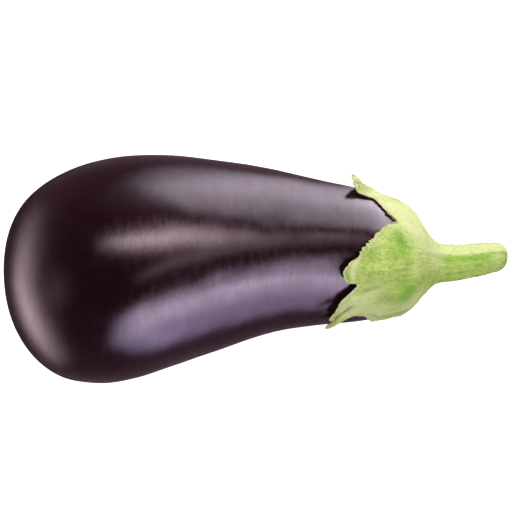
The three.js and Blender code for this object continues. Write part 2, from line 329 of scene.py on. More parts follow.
# ------------------------------------------------------------------ materials
def skin_material():
    mat = bpy.data.materials.new("skin_dark_purple")
    mat.use_nodes = True
    g = Nodes(mat.node_tree)
    out = g.new("ShaderNodeOutputMaterial")
    bsdf = g.new("ShaderNodeBsdfPrincipled")
    g.tree.links.new(bsdf.outputs[0], out.inputs["Surface"])
    pos = g.new("ShaderNodeTexCoord").outputs["Object"]

    # colour: near-black aubergine, a little browner or bluer in broad soft patches
    broad = g.noise(pos, 26.0, 3.0, 0.55)
    tint = g.noise(pos, 60.0, 3.0, 0.6, stretch=(0.35, 1.0, 1.0))
    col = g.mix(g.step(broad, 0.38, 0.62), (0.0105, 0.0021, 0.0036, 1), (0.0128, 0.0030, 0.0058, 1))
    col = g.mix(g.mul(g.step(tint, 0.45, 0.75), 0.35), col, rgb(40, 14, 20))
    speck = g.noise(pos, 900.0, 2.0, 0.6, stretch=(0.6, 1.0, 1.0))
    col = g.mix(g.mul(g.step(speck, 0.58, 0.78), 0.25), col, rgb(70, 38, 52))
    # blossom scar: cork brown with a pinkish ring, and the paler skin by the calyx
    scar = g.attr("scar")
    col = g.mix(g.step(scar, 3.4, 1.9), col, rgb(96, 54, 62))
    col = g.mix(g.step(scar, 2.0, 1.2), col, rgb(122, 96, 74))
    shade = g.attr("under_calyx")
    col = g.mix(g.mul(shade, 0.35), col, rgb(98, 60, 84))
    g.put(bsdf.inputs["Base Color"], col)

    bsdf.inputs["IOR"].default_value = 1.5
    bloom = g.noise(pos, 1.0, 4.0, 0.65, stretch=(420.0, 110.0, 110.0))
    wisps = g.noise(pos, 60.0, 3.0, 0.6, stretch=(1.0, 1.6, 1.6))
    # gloss varies at random, and in patches as painted reflection and painted shade
    g.put(bsdf.inputs["Specular IOR Level"],
          g.sub(g.add(g.step(bloom, 0.3, 0.7, -0.035, 0.035), g.step(wisps, 0.3, 0.7, 0.475, 0.525)), g.mul(g.attr("painted_reflection_shade"), 0.17)))
    wear = g.noise(pos, 300.0, 3.0, 0.6, stretch=(2.2, 0.6, 0.6))
    rough = g.step(wear, 0.3, 0.75, 0.17, 0.25)
    rough = g.math("ADD", rough, g.mul(g.step(scar, 3.0, 1.4), 0.4))
    g.put(bsdf.inputs["Roughness"], rough)

    # very fine grain that runs round the fruit: it ruffles the edges of reflections
    streak = g.noise(pos, 1.0, 2.0, 0.6, stretch=(2300.0, 420.0, 420.0))
    normal = g.new("ShaderNodeNewGeometry").outputs["Normal"]
    lean = g.mul(g.sub(streak, 0.5), 0.085)
    normal = g.vec("NORMALIZE", g.vec("ADD", normal, g.vec("SCALE", g.attr("around", "Vector"), scale=lean)))
    bump = g.new("ShaderNodeBump")
    bump.inputs["Strength"].default_value = 0.25
    bump.inputs["Distance"].default_value = 0.00003
    pores = g.noise(pos, 1100.0, 2.0, 0.6)
    g.put(bump.inputs["Height"], pores)
    g.put(bump.inputs["Normal"], normal)
    g.put(bsdf.inputs["Normal"], bump.outputs[0])
    return mat


def green_material(name, stem=False):
    mat = bpy.data.materials.new(name)
    mat.use_nodes = True
    g = Nodes(mat.node_tree)
    out = g.new("ShaderNodeOutputMaterial")
    bsdf = g.new("ShaderNodeBsdfPrincipled")
    g.tree.links.new(bsdf.outputs[0], out.inputs["Surface"])
    pos = g.new("ShaderNodeTexCoord").outputs["Object"]
    grain = g.attr("grain", "Vector")     # mm round and along the fibres

    fibre = g.noise(grain, 1.0, 4.0, 0.62, distort=0.5, stretch=(1.5, 1.5, 0.55))
    fine = g.noise(grain, 1.0, 3.0, 0.65, stretch=(4.6, 4.6, 2.0))
    blotch = g.noise(pos, 260.0, 3.0, 0.6)
    grit = g.noise(pos, 1500.0, 3.0, 0.7)

    light, mid, deep = rgb(218, 232, 142), rgb(180, 211, 100), rgb(134, 180, 50)
    col = g.mix(g.step(fibre, 0.38, 0.60), mid, light)
    col = g.mix(g.mul(g.step(blotch, 0.46, 0.64), 0.45), col, deep)
    patch = g.noise(pos, 420.0, 3.0, 0.65, distort=0.6)
    col = g.mix(g.mul(g.step(patch, 0.52, 0.66), 0.40), col, rgb(222, 234, 150))
    col = g.mix(g.mul(g.step(fine, 0.5, 0.70), 0.40), col, rgb(136, 174, 66))
    # deep green, partly painted shade in dents, hollows and on the shaded side of the ridge
    col = g.mix(g.mul(g.attr("deep_green_and_shade"), g.step(fine, 0.25, 0.55, 0.75, 1.0)), col, rgb(120, 184, 44))
    # pale, partly painted light on the side the light falls on
    col = g.mix(g.mul(g.attr("pale_and_painted_light"), g.step(fine, 0.65, 0.4, 0.7, 1.0)), col, rgb(237, 244, 182))
    # dark olive specks, partly painted shadow of the margin hairs
    specks = g.noise(pos, 1150.0, 2.0, 0.6)
    col = g.mix(g.mul(g.attr("speck"), g.step(specks, 0.50, 0.60)), col, rgb(112, 112, 52))
    # browner: mostly painted shade in slits, creases, folds and on the flanks, and the browning of the stem's cut end
    col = g.mix(g.attr("brown_and_shade"), col, rgb(134, 130, 78))
    col = g.mix(g.mul(g.step(grit, 0.54, 0.72), 0.30), col, rgb(240, 244, 196))
    col = g.mix(g.mul(g.step(grit, 0.44, 0.30), 0.30), col, rgb(96, 118, 46))
    # cream margin, uneven in width
    rim = g.add(g.attr("rim"), g.mul(g.sub(g.noise(pos, 1000.0, 2.0, 0.6), 0.5), 1.6))
    col = g.mix(g.mul(g.step(rim, 0.85, 0.25), 0.8), col, rgb(236, 234, 190))
    face = g.attr("cut")
    col = g.mix(face, col, g.mix(g.step(g.noise(pos, 2200.0, 3.0, 0.6), 0.4, 0.65), rgb(158, 140, 96), rgb(196, 184, 134)))
    # painted shade: the inner side, turned to the skin, is mixed towards a dark olive
    col = g.mix(g.mul(g.attr("inner"), 0.9), col, rgb(108, 116, 60))
    g.put(bsdf.inputs["Base Color"], col)
    g.put(bsdf.inputs["Roughness"], g.step(fine, 0.3, 0.7, 0.5, 0.68))
    bsdf.inputs["IOR"].default_value = 1.42
    bsdf.inputs["Specular IOR Level"].default_value = 0.08

    h = g.add(g.mul(fine, 0.6), g.mul(grit, 0.4))
    bump = g.new("ShaderNodeBump")
    bump.inputs["Strength"].default_value = 0.55
    bump.inputs["Distance"].default_value = 0.00022
    g.put(bump.inputs["Height"], h)
    g.put(bsdf.inputs["Normal"], bump.outputs[0])
    return mat


# ------------------------------------------------------------------ fruit
def make_fruit(material):
    rows, cols = 300, 280
    t = (1 - np.cos(np.pi * np.arange(1, rows) / rows)) / 2
    s = (t * FRUIT_LENGTH)[:, None]
    phi = (360 * np.arange(cols) / cols)[None, :]
    base = place(s, phi, fruit_radius(s))
    calm = smooth(0, 14, s) * (1 - smooth(120, 150, s))
    r = fruit_radius(s) + calm * (0.16 * field(base, 3, 46) + 0.035 * field(base, 4, 17))
    r = r + 0.16 * smooth(0, 8, s) * (1 - smooth(118, 136, s))
    p = place(s - 0.2 * (1 - smooth(0, 24, s)), phi, r)
    # blossom scar: a shallow dimple just under the pole, with a raised ring
    pole = place(3.0, -105, 11.0)
    first, last = place(0, 0, 0), place(FRUIT_LENGTH, 0, 0)
    v = np.concatenate([p.reshape(-1, 3), first[None], last[None]])
    around = place(s, phi + 0.5, r) - place(s, phi - 0.5, r)
    around /= np.linalg.norm(around, axis=-1, keepdims=True)
    around = np.concatenate([around.reshape(-1, 3), np.zeros((2, 3))])
    scar_d = np.linalg.norm(v - pole, axis=1)
    scar_d = scar_d + 0.25 * field(v, 5, 1.6)
    near = scar_d < 12
    inward = np.array([0.93, 0.1, 0.35])
    dimple = -0.9 * np.exp(-(scar_d / 3.6) ** 2) + 0.3 * np.exp(-((scar_d - 2.2) / 0.6) ** 2) \
        - 0.25 * np.exp(-((scar_d - 1.2) / 0.5) ** 2)
    v = v - near[:, None] * dimple[:, None] * inward
    # a faint flat along the top of the neck, sloping to the near side
    x, y, z = v.T
    across = np.linspace(-1.3, 9.5, 60)
    slope = 0.10 * smooth(9.5, 5.2, across) * np.clip((across + 1.3) / 6.0, 0, 1)
    height = np.cumsum(slope) * (across[1] - across[0])
    push = (np.interp(y, across, height) - height[-1] / 2) * smooth(-26, -1.3, y) * smooth(36, 9.5, y)
    st = np.concatenate([np.repeat(s, cols, 1).ravel(), [0, FRUIT_LENGTH]])
    push = push * smooth(4, 34, x) * smooth(140, 126, st)
    # and the neck sinks a little more steeply towards the calyx
    along = np.linspace(8, 33, 80)
    sink = np.cumsum(np.interp(along, [8, 19, 25, 33], [0, 0.042, 0.034, 0])) * (along[1] - along[0])
    push = push - np.interp(x, along, sink) * smooth(158, 146, st) * smooth(17, 4, y) * smooth(-18, -4, y)
    v[:, 2] += push * smooth(36, 44, z)
    z = v[:, 2]
    # rests on the floor: what would sink in is pressed flat with a soft edge
    v[:, 2] = np.where(z < 0.25, 0.25 * np.exp(np.minimum(0, (z - 0.25) / 0.25)), z)
    v[:, 2] = np.where(z < -0.6, 0.0, np.maximum(0, v[:, 2]))
    n = rows - 1
    quads = grid_quads(n, cols)
    tris = np.concatenate([fan(n * cols, 0, cols, True), fan(n * cols + 1, (n - 1) * cols, cols)])
    ph = np.concatenate([np.repeat(phi, n, 0).ravel(), [0, 0]])
    edge = np.interp(ph % 360, *margin_line())
    under = smooth(-0.5, 3.0, st - edge)
    # patches on top where the gloss is turned down or, where negative, turned up: painted reflection, and at the notch
    # beside the lower sepal painted shade
    painted_reflection_shade = sum(k * blob(v, *px(*at), rx, ry, turn) for at, rx, ry, turn, k in PAINTED_REFLECTION_SHADE) * (v[:, 2] > 42)
    return build("eggplant_fruit", v, quads, tris, material,
                 [("scar", scar_d), ("under_calyx", under), ("around", around), ("painted_reflection_shade", painted_reflection_shade)])


# ------------------------------------------------------------------ calyx
MARG = np.array(MARGIN, float)


def margin_at(base):
    """Angle, station and height of the margin at base angles, as a smooth closed curve."""
    b = np.concatenate([MARG[:, 0] - 360, MARG[:, 0], MARG[:, 0] + 360])
    cols = []
    for c in (1, 2, 3):
        y = MARG[:, c]
        y = np.concatenate([y - 360, y, y + 360]) if c == 1 else np.tile(y, 3)
        m = np.zeros(len(b))
        m[1:-1] = (y[2:] - y[:-2]) / (b[2:] - b[:-2])
        k = np.clip(np.searchsorted(b, base, side="right") - 1, 0, len(b) - 2)
        h = b[k + 1] - b[k]
        t = (base - b[k]) / h
        cols.append((2 * t**3 - 3 * t**2 + 1) * y[k] + (t**3 - 2 * t**2 + t) * h * m[k]
                    + (-2 * t**3 + 3 * t**2) * y[k + 1] + (t**3 - t**2) * h * m[k + 1])
    return cols


def margin_line():
    """Angle and station of the margin, sorted by angle, for shading the skin under it."""
    b = np.arange(0, 360, 1.0)
    phi, s, _ = margin_at(b)
    o = np.argsort(phi % 360)
    return (phi % 360)[o], s[o]


def margin_columns(spacing):
    b, out = MARG[:, 0], []
    for i in range(len(b)):
        nxt = b[(i + 1) % len(b)] + (360 if i + 1 == len(b) else 0)
        probe = np.linspace(b[i], nxt, 17)
        phi, s, h = margin_at(probe)
        p = place(s, phi, crown_radius(s) + h - SEPAL_HEIGHT)
        length = np.linalg.norm(np.diff(p, axis=0), axis=1).sum()
        n = max(3, int(math.ceil(length / spacing)))
        out.append(np.linspace(b[i], nxt, n, endpoint=False))
    return np.concatenate(out)


def arc_table(radius, start, end, steps):
    s = np.linspace(start, end, steps + 1)
    r = radius(s)
    l = np.concatenate([[0], np.cumsum(np.hypot(np.diff(s), np.diff(r)))])
    return s, l


def near_line(p, line, width, ends=1.0):
    """1 on a polyline given in X, Y (mm), falling off over width; tapers at both ends."""
    best = np.zeros(p.shape[:-1])
    pts = np.array(line, float)
    seg = np.linalg.norm(np.diff(pts, axis=0), axis=1)
    cum = np.concatenate([[0], np.cumsum(seg)])
    for i in range(len(seg)):
        a, d = pts[i], pts[i + 1] - pts[i]
        t = np.clip(((p[..., :2] - a) @ d) / (d @ d), 0, 1)
        q = a + t[..., None] * d
        dist = np.linalg.norm(p[..., :2] - q, axis=-1)
        along = cum[i] + t * seg[i]
        taper = smooth(0, ends, along) * smooth(0, ends, cum[-1] - along) if ends > 0 else 1.0
        best = np.maximum(best, np.exp(-(dist / width) ** 2) * taper)
    return best


def blob(p, x, y, rx, ry, turn):
    c, s = math.cos(math.radians(turn)), math.sin(math.radians(turn))
    dx, dy = p[..., 0] - x, p[..., 1] - y
    u, w = (dx * c + dy * s) / rx, (-dx * s + dy * c) / ry
    return np.exp(-(u * u + w * w))


RIBS = [(103, 0.30), (138, 0.18), (219, 0.34), (298, 0.34)]
VALLEYS = [(57, 6), (115, 7), (178, 12), (257, 12), (330, 9)]
# the sharpest ridge runs from the notch between two sepals to the stem: its base angle by t
RIDGE_T, RIDGE = [0, 0.15, 0.37, 0.53, 0.68, 0.85, 1.0], [67, 74, 82, 78, 70, 62, 57]
STEM_RIDGES = [(67, 0.75, 10), (150, 0.35, 12), (232, 0.5, 12), (305, 0.5, 12)]


def turn_to(a, b):
    return (a - b + 180) % 360 - 180


def from_ridge(base, t):
    """Degrees past the ridge, negative on its bright side."""
    return turn_to(base, np.interp(t, RIDGE_T, RIDGE))


def relief(base, s, t, p, rim):
    """Height over the plain surface, mm: ribs and valleys of the sepals, then fibres and lumps.
    t is 0 at the stem and 1 at the margin."""
    grain = np.stack([10 * np.cos(np.radians(base)), 10 * np.sin(np.radians(base)), 0.16 * s], -1)
    out = np.zeros(p.shape[:-1])
    onto = smooth(0.0, 0.25, t)
    for b, h in RIBS:
        w = 11 - 5.5 * smooth(0.1, 0.9, t)
        out += h * np.exp(-(turn_to(base, b) / w) ** 2) * (1 - 0.6 * smooth(0.85, 1, t)) * onto
    for b, w in VALLEYS:
        w = w * (1 + 0.6 * (1 - smooth(0.2, 0.9, t)))
        out -= 0.55 * np.exp(-(turn_to(base, b) / w) ** 2) * smooth(0.3, 0.8, t) * (1 - 0.35 * smooth(0.9, 1, t))
    past = from_ridge(base, t)
    out += 0.42 * np.exp(-np.abs(past) / 8) * (1 - smooth(0.8, 0.97, t)) * onto
    out -= 0.45 * np.exp(-((past - 9) / 5) ** 2) * smooth(0.5, 0.68, t) * (1 - smooth(0.8, 0.95, t))
    for b, h, w in STEM_RIDGES:
        out += (h * np.exp(-np.abs(turn_to(base, b)) / w) - 0.05 * h) * (1 - smooth(0.0, 0.22, t))
    fade = 0.45 + 0.55 * smooth(0, 0.2, t)
    out += fade * 0.085 * field(grain, 11, 2.6, 40)
    out += fade * 0.045 * field(grain, 12, 1.1, 40)
    out += 0.12 * field(p, 13, 7.5) * smooth(0.05, 0.3, t)
    out += 0.05 * field(p, 14, 2.2, 40)
    out += 0.03 * field(p, 15, 1.0, 40)
    return out


def px(x, y, z):
    """X, Y in mm of a point at height z that the camera sees at (x, y) of a 510 frame."""
    k = (887.0 - z) / 2125.0
    return (-1.317 + (x - 255.0) * k, 5.463 - (y - 255.0) * k)


# painted reflection and painted shade: patches of turned-down (positive) or turned-up (negative) gloss; the 2.7 patch
# stands for the shade beside the lower sepal
PAINTED_REFLECTION_SHADE = [((326, 238, 58), 9.5, 2.6, 0, 1.0), ((256, 220, 68), 11, 2.4, 12, 0.95),
        ((208, 286, 77), 9, 2.0, 18, 0.65), ((329.5, 301.5, 54), 4.8, 1.3, 20, 2.7),
        ((343, 231, 55), 4, 3.5, 0, -1.0), ((318, 260, 58), 5, 1.6, 0, -1.3),
        ((302, 283, 60), 5.5, 2.4, 5, 0.5), ((234, 303, 72), 10, 4.5, 20, -0.35),
        ((175, 174, 72), 9, 3.0, 8, 0.5), ((264, 283.5, 65), 11, 1.4, 13, -0.2)]
SLIT = [px(331, 322, 38), px(337, 317.5, 40), px(345, 311, 42), px(354.5, 305, 44)]
CREASE = [px(358, 295, 48), px(366, 291.5, 49), px(376, 288.5, 50), px(386, 287, 51)]
HEM = [px(365, 311, 38), px(371, 315, 37), px(379, 317, 36), px(390, 316.5, 36), px(401, 313.5, 36), px(413, 308, 36)]
FOLD = [px(366, 258, 60), px(361.5, 262.5, 60), px(358.4, 267, 59), px(356.6, 272, 58), px(356.4, 277, 57), px(358, 283, 55)]
NAIL = [px(352.0, 275.5, 58)]


def make_calyx(material):
    base = margin_columns(0.40)
    phi, s_m, h = margin_at(base)
    ring = np.stack([40 * np.cos(np.radians(base)), 40 * np.sin(np.radians(base)), 0 * base], -1)
    ragged = 0.5 + 0.5 * (smooth(60, 66, base) * (1 - smooth(92, 100, base)))
    teeth = smooth(64, 70, base) * (1 - smooth(90, 96, base))
    s_m = s_m + 0.18 * field(ring, 21, 4.2) + (ragged + 0.9 * teeth) * (0.30 * np.abs(field(ring, 22, 1.5, 40))
                                                                        + 0.18 * np.abs(field(ring, 24, 0.8, 40)))
    # the upper sepal lies close to the skin along its near edge
    flat = smooth(17, 24, base) * (1 - smooth(52, 60, base))
    h = h + 0.10 * field(ring, 23, 6.0) * (1 - 0.6 * flat) - 0.45 * smooth(14, 20, base) * (1 - smooth(48, 58, base))
    h = h + (0.80 - h) * flat
    s_m = s_m + 1.0 * flat
    phi = phi - 1.6 * flat
    # and so does the hollow of the margin on the near flank
    hug = smooth(158, 174, base) * (1 - smooth(196, 205, base))
    n = len(base)
    top = 2.5                                   # runs this far up the stem, under its skin
    s_o, l_o = arc_table(crown_radius, JUNCTION + top, 118, 900)
    len_o = np.interp(-s_m, -s_o, l_o)
    rows_o = 104
    t = np.linspace(0, 1, rows_o + 1)[:, None] ** 1.0
    st = np.interp(len_o[None, :] * t, l_o, s_o)
    # t2 is the same measure as in the solid: 0 at the junction, 1 at the margin
    start = np.interp(-JUNCTION, -s_o, l_o)
    t2 = np.clip((len_o[None, :] * t - start) / (len_o[None, :] - start), 0, 1)
    w = t2 ** turning(base)[None, :]
    ang = base[None, :] + (phi - base)[None, :] * w
    away = lifts_from(base)[None, :]
    lift = (h - SEPAL_HEIGHT)[None, :] * smooth(away, 1, t2)
    rim = len_o[None, :] * (1 - t)
    lift = lift + hug[None, :] * (0.55 * smooth(1.5, 6, rim) * smooth(165, 157, st) - 0.5 * smooth(3.0, 0.2, rim))
    lift = lift - 0.85 * np.exp(-(turn_to(base, 5) / 24) ** 2)[None, :] * smooth(164, 158, st) * smooth(146, 151, st)
    dip = -0.07 * smooth(174, 178, st)
    p0 = place(st, ang, crown_radius(st) + lift)
    b2 = np.broadcast_to(base[None, :], st.shape)
    rel = relief(b2, st, t2, p0, rim)
    slit = near_line(p0, SLIT, 0.38, 2.2)
    crease = near_line(p0, CREASE, 0.9, 4.0)
    hem = near_line(p0, HEM, 0.55, 3.0)
    fold = near_line(p0, FOLD, 0.5, 1.2)
    nail = blob(p0, *NAIL[0], 5.2, 5.2, 0)
    left = smooth(0.4, -0.4, (p0[..., 0] - np.interp(p0[..., 1], [q[1] for q in FOLD][::-1], [q[0] for q in FOLD][::-1])))
    inside = (p0[..., 1] < FOLD[0][1] + 0.5) & (p0[..., 1] > FOLD[-1][1] - 1.2) & (b2 > 84) & (b2 < 114)
    nail_mask = left * inside
    rel = rel * (1 - 0.75 * nail_mask)
    rel = rel - 0.85 * slit - 0.65 * crease - 0.5 * fold - 0.25 * nail_mask
    rel = np.maximum(rel, -0.85) * smooth(-0.1, 0.9, rim + 0.35)
    outer = place(st, ang, crown_radius(st) + lift + rel + dip)
    outer[..., 2] = np.maximum(outer[..., 2], FLOOR_CLEARANCE)

    # inner sheet, along the shoulder of the fruit
    tip = FRUIT_LENGTH + CLEARANCE

    def skin(s):
        u = np.minimum(1, s / tip) * FRUIT_LENGTH
        r = fruit_radius(u) + CLEARANCE * (1 + 0.6 * smooth(155, 163, s)) \
            * np.where(s > 163.5, np.sqrt(np.maximum(0, (tip - s) / (tip - 163.5))), 1)
        return np.where(s >= tip, 0, r)

    s_i, l_i = arc_table(skin, tip, 118, 2000)
    len_i = np.interp(-s_m, -s_i, l_i)
    rows_i = 34
    ti = np.linspace(1, 0, rows_i + 1)[:-1, None]
    sti = np.interp(len_i[None, :] * ti, l_i, s_i)
    thick = SEPAL_THICKNESS + (SEPAL_EDGE - 0.42 * (flat + hug)[None, :] - SEPAL_THICKNESS) * smooth(0.6, 1, ti)
    extra = np.maximum(0, crown_radius(s_m) - fruit_radius(s_m) - SEPAL_HEIGHT)[None, :] * smooth(away, 1, ti)
    lift_i = extra + (h - SEPAL_HEIGHT)[None, :] * smooth(away, 1, ti) + (SEPAL_THICKNESS - thick)
    lift_i = np.maximum(lift_i - 0.5 * hug[None, :] * smooth(0.88, 1, ti), 0.12 - CLEARANCE)
    ang_i = base[None, :] + (phi - base)[None, :] * ti ** turning(base)[None, :]
    inner = place(sti, ang_i, skin(sti) + lift_i)
    inner[..., 2] = np.maximum(inner[..., 2], 0.12)

    # rounded lip between the two
    a, b = outer[-1], inner[0]
    out_dir = outer[-1] - outer[-3]
    out_dir /= np.linalg.norm(out_dir, axis=1, keepdims=True) + 1e-9
    half = np.linalg.norm(a - b, axis=1, keepdims=True) / 2
    lip = [(a + b) / 2 + (a - b) / 2 * math.cos(q) + out_dir * np.minimum(half, 0.5) * 0.8 * math.sin(q)
           for q in np.radians([36, 72, 108, 144])]
    lip = np.stack(lip)
    lip[..., 2] = np.maximum(lip[..., 2], 0.12)
    rows = np.concatenate([outer, lip, inner])
    nr = len(rows)
    v = np.concatenate([rows.reshape(-1, 3), place(JUNCTION + top - 0.05, 0, 0)[None], place(tip, 0, 0)[None]])
    quads = grid_quads(nr, n)
    tris = np.concatenate([fan(nr * n, 0, n, True), fan(nr * n + 1, (nr - 1) * n, n)])

    def full(outer_value, lip_value, inner_value):
        o = np.broadcast_to(outer_value, outer.shape[:2])
        l_ = np.broadcast_to(lip_value, lip.shape[:2])
        i = np.broadcast_to(inner_value, inner.shape[:2])
        return np.concatenate([np.concatenate([o, l_, i]).ravel(), [0, 0]])

    rim_a = full(rim, 0.0, np.maximum(0.2, len_i[None, :] * (1 - ti)))
    # painted shade on the inner side and the lip, turned to the skin
    inner_painted_shade = full(0.0, np.array([0, 0.1, 0.5, 1])[:, None], 1.0)
    deep_green_and_shade, pale_and_painted_light, brown_and_shade, speck = tints(outer, b2, t2, crown_radius(st), nail_mask, slit, crease, fold, hem)
    cb, sb = 24 * np.cos(np.radians(base)), 24 * np.sin(np.radians(base))
    gr = np.stack([cb + 0 * st, sb + 0 * st, st], -1)
    gi = np.broadcast_to(np.stack([cb, sb, s_m], -1)[None], lip.shape)
    gin = np.stack([cb + 0 * sti, sb + 0 * sti, sti], -1)
    grain = np.concatenate([np.concatenate([gr, gi, gin]).reshape(-1, 3), [[0, 0, 170], [0, 0, 160]]])
    ob = build("eggplant_calyx", v, quads, tris, material,
               [("rim", rim_a), ("inner", inner_painted_shade), ("deep_green_and_shade", full(deep_green_and_shade, 0.0, 0.0)),
                ("pale_and_painted_light", full(pale_and_painted_light, 0.2, 0.0)), ("brown_and_shade", full(brown_and_shade, 0.15, 0.0)),
                ("speck", full(speck, 0.0, 0.0)),
                ("cut", full(0.0, 0.0, 0.0)), ("grain", grain)])
    return ob, outer, rim, st


def spot(p, x, y, z, rx, ry, turn=0):
    return blob(p, *px(x, y, z), rx, ry, turn)


def tints(p, base, t, radius, nail, slit, crease, fold, hem):
    """Where the green is deeper, paler, browner or speckled: partly the calyx's own colour, partly painted light and
    painted shade.
    """
    past = from_ridge(base, t)
    on_stem = 1 - smooth(0.02, 0.2, t)
    wavy = past + 1.4 * field(p, 41, 2.4) + 1.6 * field(p, 43, 0.9, 40)
    # deep green beside the ridge on its shaded side, in the hollows between the sepals and low on the crown: partly
    # the calyx's own mottled green, partly painted shade in the dents and hollows
    deep_green_and_shade = 0.72 * spot(p, 402, 240, 51, 2.6, 4.2, 30) + 0.35 * spot(p, 398, 251, 53, 3.0, 3.0) \
        + 0.55 * spot(p, 410, 291, 46, 3.2, 2.4, 40) + 0.30 * spot(p, 421, 279, 43, 4.0, 2.0, 40) \
        + 0.25 * spot(p, 431, 281, 37, 3.0, 1.6, 30) + 0.50 * spot(p, 402, 299, 44, 3.6, 2.0, 20) \
        + 0.30 * spot(p, 406, 265, 50, 2.5, 6.0) + 1.0 * spot(p, 346.5, 277, 57, 2.5, 2.3, 40) * nail + 0.18 * spot(p, 390, 299, 46, 9.0, 4.0, 10) \
        + 0.20 * spot(p, 377, 251, 56, 5.0, 1.8, 40) + 0.30 * spot(p, 404, 286, 47, 3.6, 3.0) \
        + 0.30 * spot(p, 479, 259, 38, 6.0, 1.8)
    for b, _w in VALLEYS[2:]:
        deep_green_and_shade = deep_green_and_shade + 0.15 * np.exp(-(turn_to(base, b) / 10) ** 2) * smooth(0.3, 0.8, t)
    deep_green_and_shade = deep_green_and_shade + on_stem * smooth(-2, 6, wavy) * (0.40 - 0.25 * smooth(8, 26, wavy)) * (past < 150)
    # pale, partly the calyx's own paler tone and partly painted light: the bright side of the ridge, the sepal under
    # the fork and the lower edge
    soft = 7 + 4 * smooth(0.1, 0.3, t) * (1 - smooth(0.55, 0.7, t))
    side = (1 - smooth(-soft, soft, wavy)) * smooth(-88, -45, past)
    pale_and_painted_light = side * (0.85 + 0.15 * smooth(0.1, 0.3, t)) * (1 - 0.15 * on_stem * (1 + field(p, 42, 1.6))) \
        + 0.75 * spot(p, 364, 303, 48, 8.0, 3.8, 25) + 0.95 * spot(p, 348, 309, 50, 6.0, 3.4, 45) \
        + 0.95 * spot(p, 379, 313, 40, 8.5, 2.8, 12) + 0.55 * spot(p, 406, 309, 38, 6.0, 1.8, 38) \
        + 0.55 * spot(p, 417, 297, 38, 6.0, 2.4, 42) + 0.40 * spot(p, 378, 241, 56, 3.6, 3.2) \
        + 0.85 * spot(p, 391, 226, 52, 2.6, 2.2, 30) + 0.35 * spot(p, 416, 269, 47, 3.0, 3.0) \
        + 0.45 * spot(p, 372, 285, 53, 4.0, 3.0) + 0.45 * spot(p, 437, 259, 38, 3.0, 2.4) \
        + 0.30 * spot(p, 438, 268, 38, 3.0, 2.4) + 0.40 * spot(p, 499, 258, 38, 1.6, 5.0) \
        + 0.38 * spot(p, 427, 257, 42, 4.6, 3.6) \
        + nail * (0.40 * (1 - spot(p, 347, 278, 57, 3.0, 2.6, 40)) + 1.0 * spot(p, 356, 267, 58, 1.5, 3.4) + 0.7 * spot(p, 353, 275, 57, 1.5, 2.2))
    # painted shade: a thin browner band along the two flanks that never see the light
    low = radius * (1 - np.cos(np.radians(np.minimum(base - 178, 0)))) + 0.06 * np.maximum(base - 178, 0)
    high = radius * (1 - np.cos(np.radians(turn_to(base, 2))))
    painted_flank_shade = 0.28 * smooth(0.75, 0.15, low) * (base > 120) * (base < 260) * (1 - smooth(0.6, 0.85, t)) \
        + 0.30 * smooth(0.6, 0.1, high) * (1 - smooth(0.15, 0.4, t))
    # browner tone, mostly painted shade: in the slit, crease, fold and hem lines, in a few dents and on the flanks
    brown_and_shade = 0.26 * spot(p, 385, 298, 45, 4.0, 2.0, 0) + 0.16 * spot(p, 407, 270, 49, 2.0, 5.5, 0) \
        + 0.16 * spot(p, 402, 240, 51, 2.6, 3.6, 30) + 0.14 * spot(p, 368, 261, 56, 3.2, 3.4, 0) + 0.9 * slit + 0.5 * crease + 0.16 * fold + 0.40 * hem \
        + painted_flank_shade + 0.36 * spot(p, 366, 188, 40, 4.5, 2.0, 30) + 0.25 * spot(p, 372, 252, 56, 3.5, 1.0, 45)
    # dark olive specks at the tips and along the margins: partly the calyx's own marks, partly painted shadow of the
    # margin hairs
    speck = 1.0 * spot(p, 360, 184, 40, 3.4, 2.0, 40) + 0.7 * spot(p, 352, 176, 40, 1.6, 1.2, 40) \
        + 0.55 * spot(p, 368, 249, 56, 6.0, 1.5, 45) + 0.35 * spot(p, 386, 232, 54, 5.0, 1.6, 40) \
        + 0.35 * spot(p, 340, 312, 48, 6.0, 1.2, 42) + 0.8 * spot(p, 349, 265, 57, 3.4, 1.0, 45) * nail
    return [np.clip(q, 0, 1) for q in (deep_green_and_shade, pale_and_painted_light, brown_and_shade, speck)]


